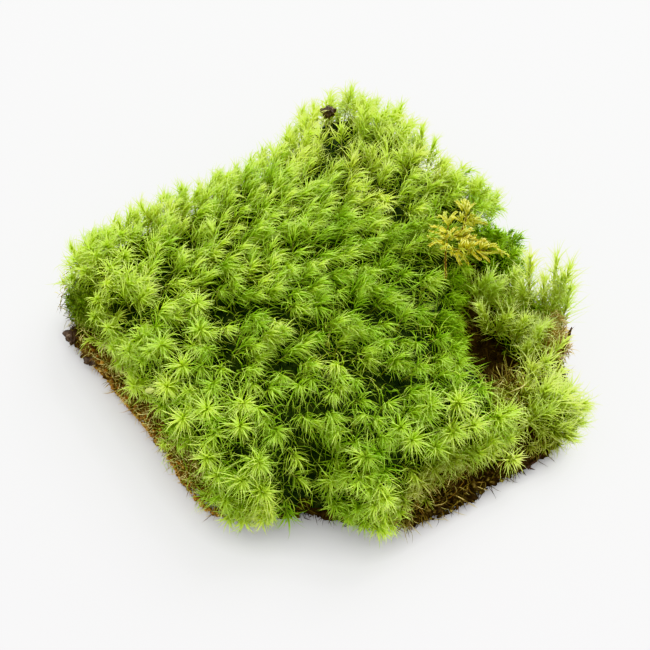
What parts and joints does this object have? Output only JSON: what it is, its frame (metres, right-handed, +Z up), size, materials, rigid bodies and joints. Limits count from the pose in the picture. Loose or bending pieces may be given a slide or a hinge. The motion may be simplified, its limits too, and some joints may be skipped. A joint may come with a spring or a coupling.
{
  "type": "moss clump",
  "caption": "Torn square clump of broom moss, tufts combed one way, on a thin flat-cut mat of brown humus, with a looser side tuft, feather moss fronds and litter.",
  "frame": {"origin": "middle of the clump's bounding box, on the ground, in the plane of the flat cut", "axes": "+Z up out of the moss, -Y the front edge nearest the viewer, +X to the viewer's right"},
  "size_m": [0.1518, 0.1562, 0.0348],
  "materials": {
    "broom_moss": "soft, thin green leaves with pale tips and dark depths",
    "pale_moss": "soft, pale yellow-green leaves",
    "dark_moss": "soft, deep green leaves",
    "feather_moss": "dry yellow branchlets on an orange-brown stem",
    "humus": "matt, fibrous brown",
    "soil": "matt, crumbly, nearly black",
    "bark": "matt, rough",
    "husk": "dry, straw coloured",
    "needle_brown": "smooth, dark"
  },
  "bodies": {
    "root": {"humus_mat": "humus", "main_cushion": "broom_moss", "side_tuft": "pale_moss", "dark_tuft": "dark_moss", "feather_frond": "feather_moss", "feather_frond_small": "feather_moss", "star_shoot": "pale_moss", "bark_flake": "bark", "needle": "needle_brown", "seed_husk": "husk", "soil_crumb_left": "soil", "soil_crumb_front": "soil", "soil_crumb_back": "soil"}
  },
  "joints": []
}
